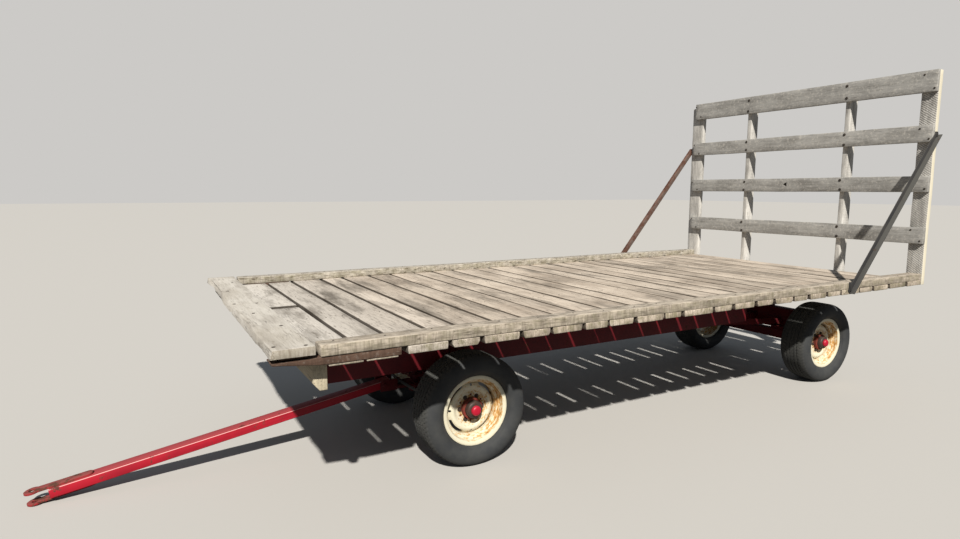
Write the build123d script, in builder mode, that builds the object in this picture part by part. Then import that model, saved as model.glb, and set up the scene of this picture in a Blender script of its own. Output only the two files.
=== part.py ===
from build123d import *
import math
import os

# Hay wagon: a plank deck with a hay rack at its rear, on a steel running gear
# with four wheels that is steered by its tongue.
# Millimetres. +X runs forward to the hitch, +Y to the wagon's left and +Z up.
# The origin is on the ground, under the middle of the whole wagon.

os.makedirs("parts", exist_ok=True)

# Deck: 8 ft wide, with edge boards 16 ft long behind the front board
deck_width = 2438
side_y = deck_width / 2
edge_board_length = 4877
edge_board_width = 100
edge_board_thickness = 51
front_board_width = 190
front_board_thickness = 38
front_board_gap = 23
plank_thickness = 38
deck_top_z = 975                   # top of the edge boards and the front board
plank_top_z = deck_top_z - edge_board_thickness
plank_bottom_z = plank_top_z - plank_thickness
edge_start = front_board_width + front_board_gap
deck_length = edge_start + edge_board_length
splice_start = 3238                # the left edge board is in two lengths
splice_gap = 6

# Rack of four uprights and four boards; the inner uprights stand on edge
upright_thickness = 45
inner_upright_depth = 102
rack_board_thickness = 32
rack_top_z = 2580

# Running gear
tyre_radius = 338
hub_z = tyre_radius
wheel_y = 620                      # middle plane of each wheel
front_axle_back = 1256             # distances back from the deck's front edge
rear_axle_back = 4694
axle_size = 76
kingpin_y = 455
kingpin_radius = 11
spindle_radius = 20
bolster_bottom_z = 400
sill_bottom_z = 548
sill_face_y = 428                  # outer face of each steel sill
channel_height = 156
channel_wall = 8
channel_flange = 50
channel_back = 450
timber_thickness = 84
channel_end = 4008
rear_bolster_top_z = 580
reach_size = 70
reach_z = 455

# Steering head, tie rods and tongue
head_ahead = 90                    # head's pin, ahead of the front axle
pitch_ahead = 326                  # tongue's pin, ahead of the front axle
pitch_z = 360
rod_pin_x = 116                    # ahead of the head's pin
rod_pin_y = 22
arm_length = 170                   # steering arm, from kingpin to its pin
rod_z = 361
rod_radius = 11
tongue_width = 89
tongue_height = 51
tongue_wall = 5
tongue_tail = 45
tongue_tube_end = 1880
tongue_length = 1990               # from its pin to the tip of the hitch
strap_thickness = 10
strap_width = 56
strap_start = 1700
jaw_radius = 38
hitch_hole_radius = 16

# The tongue lies with the tip of its lower strap on the ground
jaw_drop = tongue_height / 2 + strap_thickness
tongue_angle = math.asin(pitch_z / math.hypot(tongue_length, jaw_drop)) - math.atan2(jaw_drop, tongue_length)
tongue_reach = tongue_length * math.cos(tongue_angle) + jaw_drop * math.sin(tongue_angle)

# Place of the deck's front edge, which puts the origin under the middle
rear_reach = deck_length + inner_upright_depth
front_x = (rear_reach + front_axle_back - pitch_ahead - tongue_reach) / 2
front_axle_x = front_x - front_axle_back
rear_axle_x = front_x - rear_axle_back
head_x = front_axle_x + head_ahead
pitch_x = front_axle_x + pitch_ahead


def back(distance):
    """X of a place that lies this far back from the deck's front edge."""
    return front_x - distance


def block(x_range, y_range, z_range, mode=Mode.ADD):
    """A box between two places along each axis, in the piece being built."""
    middle = [(low + high) / 2 for low, high in (x_range, y_range, z_range)]
    size = [abs(high - low) for low, high in (x_range, y_range, z_range)]
    with Locations(tuple(middle)):
        Box(*size, mode=mode)


def finish(piece, name):
    """Label a piece and write it to its STEP file."""
    piece.part.label = name
    export_step(piece.part, f"parts/{name}.step")


# Deck planks: front edge and rear edge, back from the deck's front edge, then
# how much the left end is cut short, and the wane on the two lower edges
planks = [
    (616, 823, 0, 3), (847, 999, 4, 13), (1025, 1232, 2, 5), (1252, 1420, 0, 10),
    (1440, 1635, 5, 7), (1653, 1808, 0, 4), (1828, 2004, 3, 6), (2030, 2236, 0, 8),
    (2250, 2381, 2, 4), (2407, 2654, 0, 3), (2676, 2834, 4, 9), (2860, 3046, 0, 4),
    (3080, 3238, 3, 8), (3262, 3440, 0, 11), (3468, 3610, 5, 4), (3638, 3818, 0, 6),
    (3846, 3992, 2, 5), (4006, 4224, 0, 3), (4242, 4402, 4, 7), (4426, 4612, 0, 5),
    (4644, 4864, 3, 4), (4890, deck_length, 0, 3),
]
# The first three rows stop short of the sides, where a filler runs forward
short_start = 45
filler_width = 118
filler_gap = 6
filler_start = 8
filler_end = 587
filler_taper_end = 225             # the filler's underside rises ahead of here
filler_tip_z = plank_top_z - 16
short_side_y = side_y - filler_width - filler_gap
butt_y = 3
butt_gap = 13
short_planks = [
    # front edge, rear edge, right end, left end
    (short_start, 196, -short_side_y, short_side_y),
    (206, 401, -short_side_y, butt_y - butt_gap),
    (206, 401, butt_y, short_side_y),
    (425, 590, -short_side_y, short_side_y),
]
plank_z = (plank_bottom_z, plank_top_z)
with BuildPart() as deck_planks:
    for start, end, left_cut, wane in planks:
        section_y = (-side_y, side_y - left_cut)
        profile = Plane.XZ.offset(-section_y[0])
        with BuildSketch(profile):
            with BuildLine():
                Polyline(
                    (back(start), plank_top_z),
                    (back(start), plank_bottom_z + wane),
                    (back(start + wane), plank_bottom_z),
                    (back(end - wane), plank_bottom_z),
                    (back(end), plank_bottom_z + wane),
                    (back(end), plank_top_z),
                    close=True,
                )
            make_face()
        extrude(amount=-(section_y[1] - section_y[0]))
    for start, end, right_end, left_end in short_planks:
        block((back(end), back(start)), (right_end, left_end), plank_z)
finish(deck_planks, "deck_planks")

# Fillers along both sides at the front, and the laths under the left one
with BuildPart() as corner_fillers:
    filler_y = (side_y - filler_width, side_y - 7)
    with BuildSketch(Plane.XZ.offset(-filler_y[0])):
        with BuildLine():
            Polyline(
                (back(filler_start), plank_top_z),
                (back(filler_start), filler_tip_z),
                (back(filler_taper_end), plank_bottom_z),
                (back(filler_end), plank_bottom_z),
                (back(filler_end), plank_top_z),
                close=True,
            )
        make_face()
    extrude(amount=-(filler_y[1] - filler_y[0]))
    mirror(about=Plane.XZ)
finish(corner_fillers, "corner_fillers")

lath_thickness = 12
lath_y = (side_y - 95, side_y - 12)
with BuildPart() as laths:
    for start, end in ((250, 408), (422, 574)):
        block((back(end), back(start)), lath_y, (plank_bottom_z - lath_thickness, plank_bottom_z))
finish(laths, "laths")

# Front board, its worn front edge bitten away near the right end
bite = [(0, -side_y), (16, -900), (20, -770), (6, -600), (9, -250), (3, 120), (7, 620), (0, side_y)]
with BuildPart() as front_board:
    with BuildSketch(Plane.XY.offset(deck_top_z - front_board_thickness)):
        with BuildLine():
            Polyline(
                (back(front_board_width), -side_y),
                *[(back(depth), y) for depth, y in bite],
                (back(front_board_width), side_y),
                close=True,
            )
        make_face()
    extrude(amount=front_board_thickness)
finish(front_board, "front_board")

packing_inset = 26
packing_z = (plank_top_z, deck_top_z - front_board_thickness)
with BuildPart() as front_packing:
    block(
        (back(front_board_width - packing_inset), back(short_start)),
        (-side_y + packing_inset, side_y - packing_inset),
        packing_z,
    )
finish(front_packing, "front_packing")

# Edge boards on top of the planks
edge_z = (plank_top_z, deck_top_z)
edge_boards_at = [
    # front end, rear end, right edge
    (edge_start, splice_start, side_y - edge_board_width),
    (splice_start + splice_gap, deck_length, side_y - edge_board_width),
    (edge_start, deck_length, -side_y),
]
with BuildPart() as edge_boards:
    for start, end, right_edge in edge_boards_at:
        block((back(end), back(start)), (right_edge, right_edge + edge_board_width), edge_z)
finish(edge_boards, "edge_boards")

# Steel sills, channels with their webs outward, each around a lower timber
channel_top_z = sill_bottom_z + channel_height
with BuildPart() as sill_channel_left:
    with BuildSketch(Plane.YZ.offset(back(channel_end))):
        with Locations((sill_face_y - channel_flange / 2, sill_bottom_z + channel_height / 2)):
            Rectangle(channel_flange, channel_height)
        with Locations((sill_face_y - (channel_flange + channel_wall) / 2, sill_bottom_z + channel_height / 2)):
            Rectangle(channel_flange - channel_wall, channel_height - 2 * channel_wall, mode=Mode.SUBTRACT)
    extrude(amount=channel_end - channel_back)
finish(sill_channel_left, "sill_channel_left")

timber_y = (sill_face_y - channel_wall - timber_thickness, sill_face_y - channel_wall)
timber_low_z = sill_bottom_z + channel_wall
timber_high_z = channel_top_z - channel_wall
with BuildPart() as sill_timbers:
    block((back(channel_end), back(channel_back)), timber_y, (timber_low_z, timber_high_z))
    mirror(about=Plane.XZ)
finish(sill_timbers, "sill_timbers")

# Sleepers on edge between the sills and the planks
sleeper_thickness = 76
sleeper_front = 268
sleeper_y = (sill_face_y - sleeper_thickness, sill_face_y)
sleeper_z = (channel_top_z, plank_bottom_z)
with BuildPart() as sleepers:
    block((back(deck_length), back(sleeper_front)), sleeper_y, sleeper_z)
    mirror(about=Plane.XZ)
finish(sleepers, "sleepers")

with BuildPart() as sill_channel_right:
    mirror(sill_channel_left.part, about=Plane.XZ)
finish(sill_channel_right, "sill_channel_right")

# Cross ties between the sleepers, the one over the rear axle as deep as they
# are, and a timber with a chamfered lower edge across their front ends
tie_thickness = 38
tie_depth = 140
nose_y = 1110
nose_front = 202
nose_bottom_z = 739
nose_chamfer = (30, 36)
with BuildPart() as cross_ties:
    for place, depth in (
        (1700, tie_depth),
        (3350, tie_depth),
        (rear_axle_back - tie_thickness / 2, sleeper_z[1] - sleeper_z[0]),
        (5040, tie_depth),
    ):
        block(
            (back(place + tie_thickness), back(place)),
            (-sleeper_y[0], sleeper_y[0]),
            (plank_bottom_z - depth, plank_bottom_z),
        )
    with BuildSketch(Plane.XZ.offset(nose_y)):
        with BuildLine():
            Polyline(
                (back(nose_front), plank_bottom_z),
                (back(nose_front), nose_bottom_z + nose_chamfer[1]),
                (back(nose_front + nose_chamfer[0]), nose_bottom_z),
                (back(sleeper_front), nose_bottom_z),
                (back(sleeper_front), plank_bottom_z),
                close=True,
            )
        make_face()
    extrude(amount=-2 * nose_y)
finish(cross_ties, "cross_ties")

# Rack uprights: right edge, left edge, top and how deep from front to rear
uprights = [
    (-side_y, -1075, 2540, upright_thickness),
    (-506, -463, 2540, inner_upright_depth),
    (494, 538, 2548, inner_upright_depth),
    (1099, side_y, rack_top_z, upright_thickness),
]
rack_x = back(deck_length)
with BuildPart() as rack_uprights:
    for right_edge, left_edge, top, depth in uprights:
        block((rack_x - depth, rack_x), (right_edge, left_edge), (plank_bottom_z, top))
finish(rack_uprights, "rack_uprights")

# Rack boards: lower edge, depth and right end
boards = [(2412, 168, -1160), (2026, 132, -1170), (1632, 127, -1174), (1217, 130, -1168)]
with BuildPart() as rack_boards:
    for low, depth, right_end in boards:
        block((rack_x, rack_x + rack_board_thickness), (right_end, side_y), (low, low + depth))
finish(rack_boards, "rack_boards")

# Rack braces: angle irons from the deck's sides up to the outer uprights
angle_leg = 38
angle_wall = 5
brace_foot = (back(4086), 905)
brace_head = (rack_x - upright_thickness / 2, 2092)
brace_run = math.dist(brace_foot, brace_head)
brace_direction = (brace_head[0] - brace_foot[0], 0, brace_head[1] - brace_foot[1])
clip_size = 56
clip_wall = 6
with BuildPart() as rack_brace_left:
    start = Plane(
        origin=(brace_foot[0], side_y, brace_foot[1]),
        x_dir=(0, 1, 0),
        z_dir=brace_direction,
    )
    with BuildSketch(start):
        with Locations((angle_leg / 2, 0)):
            Rectangle(angle_leg, angle_leg)
        with Locations(((angle_leg - angle_wall) / 2, angle_wall)):
            Rectangle(angle_leg - angle_wall, angle_leg, mode=Mode.SUBTRACT)
    extrude(amount=brace_run)
    for x, z in (brace_foot, brace_head):
        half = clip_size / 2
        low_z = max(z - half, plank_bottom_z)
        x_low = max(x - half, rack_x - upright_thickness)
        block((x_low, x + half), (side_y, side_y + clip_wall), (low_z, z + half))
finish(rack_brace_left, "rack_brace_left")
with BuildPart() as rack_brace_right:
    mirror(rack_brace_left.part, about=Plane.XZ)
finish(rack_brace_right, "rack_brace_right")

# Bolsters: a channel across each axle, with feet on the axle. The front one
# has stakes outside the sills, the rear one two pads under the deck's tie
bolster_width = 90
pad_y = (114, 190)
stake_thickness = 10
stake_height = 130
foot_y = 260
foot_length = 120
axle_top_z = hub_z + axle_size / 2
for name, axle_x, top_z in (
    ("front_bolster", front_axle_x, sill_bottom_z),
    ("rear_bolster", rear_axle_x, rear_bolster_top_z),
):
    with BuildPart() as bolster:
        half = bolster_width / 2
        block((axle_x - half, axle_x + half), (-sill_face_y, sill_face_y), (bolster_bottom_z, top_z))
        for side in (1, -1):
            block(
                (axle_x + side * channel_wall / 2, axle_x + side * half),
                (-sill_face_y, sill_face_y),
                (bolster_bottom_z + channel_wall, top_z - channel_wall),
                mode=Mode.SUBTRACT,
            )
        for side in (1, -1):
            stake_top_z = top_z
            if name == "front_bolster":
                stake_top_z = top_z + stake_height
            else:
                block(
                    (axle_x - 30, axle_x + 30),
                    (side * pad_y[0], side * pad_y[1]),
                    (top_z, channel_top_z),
                )
            block(
                (axle_x - 30, axle_x + 30),
                (side * sill_face_y, side * (sill_face_y + stake_thickness)),
                (bolster_bottom_z, stake_top_z),
            )
            block(
                (axle_x - 30, axle_x + 30),
                (side * (foot_y - foot_length / 2), side * (foot_y + foot_length / 2)),
                (axle_top_z, bolster_bottom_z),
            )
    finish(bolster, name)

# Front axle: beam, yokes with their kingpins, and the bracket of the head
yoke_thickness = 16
yoke_gap = 2
yoke_half = 32
beam_end_y = 400
lug_inner_z = axle_size / 2 + yoke_gap
lug_outer_z = lug_inner_z + yoke_thickness
head_pin_radius = 15
with BuildPart() as front_axle:
    half = axle_size / 2
    block((front_axle_x - half, front_axle_x + half), (-beam_end_y, beam_end_y), (hub_z - half, hub_z + half))
    for side in (1, -1):
        for low, high in ((lug_inner_z, lug_outer_z), (-lug_outer_z, -lug_inner_z)):
            block(
                (front_axle_x - yoke_half, front_axle_x + yoke_half),
                (side * (beam_end_y - 50), side * (kingpin_y + 27)),
                (hub_z + low, hub_z + high),
            )
        block(
            (front_axle_x - yoke_half, front_axle_x + yoke_half),
            (side * (beam_end_y - 50), side * (beam_end_y - 20)),
            (hub_z - lug_outer_z, hub_z + lug_outer_z),
        )
        with Locations((front_axle_x, side * kingpin_y, hub_z)):
            Cylinder(kingpin_radius, 2 * lug_outer_z + 14)
    for low, high in ((lug_inner_z, lug_outer_z), (-lug_outer_z, -lug_inner_z)):
        block((front_axle_x, head_x), (-42, 42), (hub_z + low, hub_z + high))
        with Locations((head_x, 0, hub_z + (low + high) / 2)):
            Cylinder(42, yoke_thickness)
    block((front_axle_x + 20, front_axle_x + half), (-42, 42), (hub_z - lug_outer_z, hub_z + lug_outer_z))
    with Locations((head_x, 0, hub_z)):
        Cylinder(head_pin_radius, 2 * lug_outer_z + 14)
finish(front_axle, "front_axle")

# Rear axle: beam with a spindle at each end
spindle_end = 20                   # outward of the wheel's middle plane
rear_beam_y = 480
with BuildPart() as rear_axle:
    half = axle_size / 2
    block((rear_axle_x - half, rear_axle_x + half), (-rear_beam_y, rear_beam_y), (hub_z - half, hub_z + half))
    with Locations((rear_axle_x, 0, hub_z)):
        Cylinder(spindle_radius, 2 * (wheel_y + spindle_end), rotation=(90, 0, 0))
finish(rear_axle, "rear_axle")

# Reach between the bolsters, with a collar at its rear, and the hounds that
# brace it to each of them
with BuildPart() as reach:
    half = reach_size / 2
    block(
        (rear_axle_x + channel_wall / 2, front_axle_x - channel_wall / 2),
        (-half, half),
        (reach_z - half, reach_z + half),
    )
    block(
        (rear_axle_x + bolster_width / 2, rear_axle_x + bolster_width / 2 + reach_size),
        (-half - 6, half + 6),
        (reach_z - half - 6, reach_z + half + 6),
    )
finish(reach, "reach")

hound_run = 620
hound_spread = 300
hound_depth = 50
hound_wall = 12
for name, axle_x, direction in (("front_hounds", front_axle_x, -1), ("rear_hounds", rear_axle_x, 1)):
    root_x = axle_x + direction * channel_wall / 2
    with BuildPart() as hounds:
        with BuildSketch(Plane.XY.offset(reach_z - hound_depth / 2)):
            for side in (1, -1):
                with BuildLine():
                    Polyline(
                        (root_x, side * hound_spread),
                        (root_x, side * (hound_spread - 2 * hound_wall)),
                        (root_x + direction * (hound_run - 2 * hound_wall), side * reach_size / 2),
                        (root_x + direction * hound_run, side * reach_size / 2),
                        close=True,
                    )
                make_face()
        extrude(amount=hound_depth)
    finish(hounds, name)

# Knuckles: barrel on the kingpin, spindle, steering arm and its pin
barrel_radius = 26
arm_width = 30
arm_thickness = 16
arm_top_z = rod_z - 14
rod_pin_radius = 7
with BuildPart() as knuckle_left:
    with Locations((front_axle_x, kingpin_y, hub_z)):
        Cylinder(barrel_radius, axle_size)
    with Locations((front_axle_x, (kingpin_y + wheel_y + spindle_end) / 2, hub_z)):
        Cylinder(spindle_radius, wheel_y + spindle_end - kingpin_y, rotation=(90, 0, 0))
    arm_y = (kingpin_y - arm_width / 2, kingpin_y + arm_width / 2)
    block((front_axle_x, front_axle_x + arm_length), arm_y, (arm_top_z - arm_thickness, arm_top_z))
    with Locations((front_axle_x + arm_length, kingpin_y, arm_top_z - arm_thickness / 2)):
        Cylinder(arm_width / 2, arm_thickness)
    with Locations((front_axle_x + arm_length, kingpin_y, arm_top_z + 15)):
        Cylinder(rod_pin_radius, 30)
    with Locations((front_axle_x, kingpin_y, hub_z)):
        Cylinder(kingpin_radius + 1, axle_size + 2, mode=Mode.SUBTRACT)
finish(knuckle_left, "knuckle_left")
with BuildPart() as knuckle_right:
    mirror(knuckle_left.part, about=Plane.XZ)
finish(knuckle_right, "knuckle_right")

# Steering head: barrel on its pin, a plate with the rods' pins, and cheeks
# that carry the tongue's pin
plate_top_z = rod_z - 15
plate_thickness = 18
plate_half = 66
plate_rear_radius = 44
plate_front = 158
cheek_inner = tongue_width / 2 + 4
cheek_outer = cheek_inner + 12
cheek_start = 150
cheek_end = pitch_ahead - head_ahead + 30
cheek_low_z = pitch_z - 40
cheek_high_z = pitch_z + 34
pitch_pin_radius = 12.5
with BuildPart() as steering_head:
    with Locations((head_x, 0, hub_z)):
        Cylinder(32, axle_size)
    block((head_x, head_x + plate_front), (-plate_half, plate_half), (plate_top_z - plate_thickness, plate_top_z))
    with Locations((head_x, 0, plate_top_z - plate_thickness / 2)):
        Cylinder(plate_rear_radius, plate_thickness)
    for side in (1, -1):
        with Locations((head_x + rod_pin_x, side * rod_pin_y, plate_top_z + 14)):
            Cylinder(rod_pin_radius, 34)
        block(
            (head_x + cheek_start, head_x + cheek_end),
            (side * cheek_inner, side * cheek_outer),
            (cheek_low_z, cheek_high_z),
        )
    with Locations((pitch_x, 0, pitch_z)):
        Cylinder(pitch_pin_radius, 2 * cheek_outer + 16, rotation=(90, 0, 0))
    with Locations((head_x, 0, hub_z)):
        Cylinder(head_pin_radius + 1, axle_size + 2, mode=Mode.SUBTRACT)
finish(steering_head, "steering_head")

# Tie rods, each from the head's plate out to a steering arm. The outer eye is
# larger than its pin, because the linkage is open there.
inner_eye = (head_x + rod_pin_x, rod_pin_y)
outer_eye = (front_axle_x + arm_length, kingpin_y)
rod_run = math.dist(inner_eye, outer_eye)
eye_height = 24
with BuildPart() as tie_rod_left:
    rod_start = Plane(
        origin=(*inner_eye, rod_z),
        x_dir=(0, 0, 1),
        z_dir=(outer_eye[0] - inner_eye[0], outer_eye[1] - inner_eye[1], 0),
    )
    with BuildSketch(rod_start.offset(8)):
        Circle(rod_radius - 1)
    extrude(amount=rod_run - 24)
    for (x, y), outer_radius, hole_radius in ((inner_eye, 17, rod_pin_radius + 0.7), (outer_eye, 23, 14)):
        with Locations((x, y, rod_z)):
            Cylinder(outer_radius, eye_height)
            Cylinder(hole_radius, eye_height + 2, mode=Mode.SUBTRACT)
finish(tie_rod_left, "tie_rod_left")
with BuildPart() as tie_rod_right:
    mirror(tie_rod_left.part, about=Plane.XZ)
finish(tie_rod_right, "tie_rod_right")

# Tongue: a rectangular tube, and two straps that make the jaws of the hitch
along_tongue = (math.cos(tongue_angle), 0, -math.sin(tongue_angle))
tongue_plane = Plane(
    origin=(pitch_x, 0, pitch_z),
    x_dir=along_tongue,
    z_dir=(math.sin(tongue_angle), 0, math.cos(tongue_angle)),
)
with BuildPart(tongue_plane) as tongue_tube:
    block(
        (-tongue_tail, tongue_tube_end),
        (-tongue_width / 2, tongue_width / 2),
        (-tongue_height / 2, tongue_height / 2),
    )
    block(
        (-tongue_tail, tongue_tube_end - 60),
        (-tongue_width / 2 + tongue_wall, tongue_width / 2 - tongue_wall),
        (-tongue_height / 2 + tongue_wall, tongue_height / 2 - tongue_wall),
        mode=Mode.SUBTRACT,
    )
    with Locations((0, 0, 0)):
        Cylinder(pitch_pin_radius + 0.6, tongue_width + 2, rotation=(90, 0, 0), mode=Mode.SUBTRACT)
finish(tongue_tube, "tongue_tube")

jaw_x = tongue_length - jaw_radius
with BuildPart() as hitch_straps:
    for low in (tongue_height / 2, -jaw_drop):
        with BuildSketch(tongue_plane.offset(low)):
            with Locations(((strap_start + jaw_x) / 2, 0)):
                Rectangle(jaw_x - strap_start, strap_width)
            with Locations((strap_start, 0)):
                Circle(strap_width / 2)
            with Locations((jaw_x, 0)):
                Circle(jaw_radius)
                Circle(hitch_hole_radius, mode=Mode.SUBTRACT)
        extrude(amount=strap_thickness)
finish(hitch_straps, "hitch_straps")

# Wheels. A profile's first number is outward from the wheel's middle plane
# and its second is the radius.
tyre_sides = 48                    # flat underfoot, with their middles at the radius
tyre_section = [(-125, 268), (-115, 314), (-94, tyre_radius), (94, tyre_radius), (115, 314), (125, 268)]
bead_half = 80
bead_radius = 194
flange_half = 87
flange_radius = 213
tyre_opening = [(bead_half, flange_radius + 0.3), (flange_half, flange_radius + 3), (125, 256)]
disc_bore = 64
lug_circle = 77
rim_section = [
    (flange_half, flange_radius), (bead_half, flange_radius), (bead_half, 192), (50, 188),
    (38, 166), (-20, 166), (-50, 188), (-bead_half, 192), (-bead_half, flange_radius),
    (-flange_half, flange_radius), (-flange_half, 187), (-54, 183), (-24, 161), (42, 161),
    (54, 183), (flange_half, 187),
]
disc_section = [
    (22, disc_bore), (22, 104), (31, 118), (31, 132), (16, 156), (12, 163),
    (4, 163), (9, 154), (24, 130), (24, 121), (16, 108), (16, disc_bore),
]
hub_section = [(-52, 0), (-52, 45), (4, 45), (4, 92), (16, 92), (16, 58), (27, 58), (27, 0)]
cap_section = [(27, 0), (27, 46), (58, 46), (66, 40), (66, 21), (78, 19), (82, 12), (83, 0)]


def wheel(name, axle_x, side):
    """Tyre, rim, hub and cap of one wheel, outward to side 1 or -1."""
    centre = (axle_x, side * wheel_y, hub_z)
    section = Plane(origin=centre, x_dir=(0, side, 0), z_dir=(side, 0, 0))
    face = Plane(origin=centre, x_dir=(1, 0, 0), z_dir=(0, side, 0))
    axle = Axis(centre, (0, side, 0))

    with BuildPart() as tyre:
        for outward, radius in tyre_section:
            with BuildSketch(face.offset(outward)):
                RegularPolygon(radius, tyre_sides, major_radius=False, rotation=180 / tyre_sides)
        loft(ruled=True)
        with BuildSketch(face.offset(-bead_half)):
            RegularPolygon(bead_radius, tyre_sides, major_radius=False, rotation=180 / tyre_sides)
        extrude(amount=2 * bead_half, mode=Mode.SUBTRACT)
        for direction in (1, -1):
            for outward, radius in tyre_opening:
                with BuildSketch(face.offset(direction * outward)):
                    RegularPolygon(radius, tyre_sides, major_radius=False, rotation=180 / tyre_sides)
            loft(ruled=True, mode=Mode.SUBTRACT)
    finish(tyre, f"tyre_{name}")

    with BuildPart() as rim:
        for outline in (rim_section, disc_section):
            with BuildSketch(section):
                with BuildLine():
                    Polyline(*outline, close=True)
                make_face()
            revolve(axis=axle)
        with BuildSketch(face):
            with PolarLocations(lug_circle, 6):
                Circle(9)
            with PolarLocations(lug_circle, 6, start_angle=30):
                Circle(6)
            with PolarLocations(142, 4):
                Circle(5)
            for quarter in range(4):
                middle = 45 + 90 * quarter
                SlotArc(Edge.make_circle(151, start_angle=middle - 22, end_angle=middle + 22), 9)
        extrude(amount=40, both=True, mode=Mode.SUBTRACT)
    finish(rim, f"rim_{name}")

    with BuildPart() as hub:
        with BuildSketch(section):
            with BuildLine():
                Polyline(*hub_section, close=True)
            make_face()
        revolve(axis=axle)
        with BuildSketch(face.offset(16)):
            with PolarLocations(lug_circle, 6):
                Circle(7)
        extrude(amount=22)
        with BuildSketch(face.offset(22)):
            with PolarLocations(lug_circle, 6):
                RegularPolygon(11, 6)
        extrude(amount=10)
        with BuildSketch(face.offset(-60)):
            Circle(spindle_radius + 0.5)
        extrude(amount=60 + spindle_end + 2, mode=Mode.SUBTRACT)
    finish(hub, f"hub_{name}")

    with BuildPart() as cap:
        with BuildSketch(section):
            with BuildLine():
                Polyline(*cap_section, close=True)
            make_face()
        revolve(axis=axle)
    finish(cap, f"hub_cap_{name}")


wheel("front_left", front_axle_x, 1)
wheel("front_right", front_axle_x, -1)
wheel("rear_left", rear_axle_x, 1)
wheel("rear_right", rear_axle_x, -1)
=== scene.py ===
import math
import random

import bmesh
import bpy
from mathutils import Matrix, Vector


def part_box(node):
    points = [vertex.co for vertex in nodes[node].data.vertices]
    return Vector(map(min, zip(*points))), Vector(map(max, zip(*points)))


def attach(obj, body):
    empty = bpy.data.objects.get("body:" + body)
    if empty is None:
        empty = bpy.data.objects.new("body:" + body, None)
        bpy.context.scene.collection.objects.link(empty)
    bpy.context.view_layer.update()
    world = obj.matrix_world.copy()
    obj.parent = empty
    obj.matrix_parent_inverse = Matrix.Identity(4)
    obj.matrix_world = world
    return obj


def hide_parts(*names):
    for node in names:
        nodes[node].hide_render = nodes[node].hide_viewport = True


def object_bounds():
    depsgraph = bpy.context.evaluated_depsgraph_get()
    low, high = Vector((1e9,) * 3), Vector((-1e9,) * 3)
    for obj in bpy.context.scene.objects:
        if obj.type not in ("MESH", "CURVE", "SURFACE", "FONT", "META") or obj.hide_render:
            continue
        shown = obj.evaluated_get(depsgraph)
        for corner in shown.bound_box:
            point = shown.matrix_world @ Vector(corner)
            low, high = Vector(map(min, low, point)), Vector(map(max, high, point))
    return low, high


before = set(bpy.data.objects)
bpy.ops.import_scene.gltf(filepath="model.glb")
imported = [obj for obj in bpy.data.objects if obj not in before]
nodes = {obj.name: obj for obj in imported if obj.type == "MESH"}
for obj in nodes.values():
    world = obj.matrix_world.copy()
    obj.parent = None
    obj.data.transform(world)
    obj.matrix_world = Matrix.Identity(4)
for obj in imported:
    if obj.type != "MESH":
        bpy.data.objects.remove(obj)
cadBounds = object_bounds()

hairline = 1e-4  # a point nearer to a plane than this lies in it
sameSpot = 1e-5  # two points nearer than this are one
print("frame loaded:", len(nodes), "nodes")


def linearColour(hexText):
    # sRGB hex to linear
    channels = [int(hexText[i:i + 2], 16) / 255 for i in (1, 3, 5)]
    return tuple(c / 12.92 if c <= 0.04045 else ((c + 0.055) / 1.055) ** 2.4 for c in channels) + (1.0,)


def addNode(tree, kind, values=None, links=None, **options):
    # a value may be a hex colour, and a link may be a whole node, which gives its first live output
    node = tree.nodes.new("ShaderNode" + kind)
    for key, value in options.items():
        setattr(node, key, value)
    for key, value in (values or {}).items():
        node.inputs[key].default_value = linearColour(value) if isinstance(value, str) else value
    for key, source in (links or {}).items():
        if isinstance(source, bpy.types.Node):
            source = next(output for output in source.outputs if output.enabled)
        tree.links.new(source, node.inputs[key])
    return node


def startMaterial(name):
    material = bpy.data.materials.new(name)
    material.use_nodes = True
    material.node_tree.nodes.clear()
    return material, material.node_tree


def deselectAll():
    bpy.ops.object.select_all(action="DESELECT")


def makeActive(*pieces):
    deselectAll()
    for piece in pieces:
        piece.select_set(True)
    bpy.context.view_layer.objects.active = pieces[0]


def applyPlace(piece):
    makeActive(piece)
    bpy.ops.object.transform_apply(location=True, rotation=True, scale=True)


def addModifier(piece, kind, **options):
    modifier = piece.modifiers.new(kind.lower(), kind)
    for key, value in options.items():
        setattr(modifier, key, value)


def applyModifiers(piece):
    makeActive(piece)
    for modifier in list(piece.modifiers):
        bpy.ops.object.modifier_apply(modifier=modifier.name)


def roundEdges(piece, width, segments, degrees):
    # only the edges that turn by more than the degrees
    addModifier(piece, "BEVEL", width=width, segments=segments, limit_method="ANGLE",
                angle_limit=math.radians(degrees))


def cutAway(piece, cutter):
    addModifier(piece, "BOOLEAN", operation="DIFFERENCE", solver="EXACT", object=cutter)
    applyModifiers(piece)
    bpy.data.objects.remove(cutter)


def joinAs(name, pieces):
    makeActive(*pieces)
    if len(pieces) > 1:
        bpy.ops.object.join()
    joined = bpy.context.object
    joined.name = joined.data.name = name
    return joined


def smooth(piece, degrees=40):
    makeActive(piece)
    bpy.ops.object.shade_smooth_by_angle(angle=math.radians(degrees))


def paint(piece, material):
    piece.data.materials.clear()
    piece.data.materials.append(material)


def addCylinder(sides, radius, depth, location, rotation=(0, 0, 0)):
    deselectAll()
    bpy.ops.mesh.primitive_cylinder_add(vertices=sides, radius=radius, depth=depth, location=location,
                                        rotation=rotation)
    return bpy.context.object


def editAll():
    bpy.ops.object.mode_set(mode="EDIT")
    bpy.ops.mesh.select_all(action="SELECT")


def extrudeBy(x, y, z):
    bpy.ops.mesh.extrude_region_move(TRANSFORM_OT_translate={"value": (x, y, z)})


def leaveEdit():
    # out of edit mode, with every face pointing outwards
    bpy.ops.mesh.select_all(action="SELECT")
    bpy.ops.mesh.normals_make_consistent(inside=False)
    bpy.ops.object.mode_set(mode="OBJECT")


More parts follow.
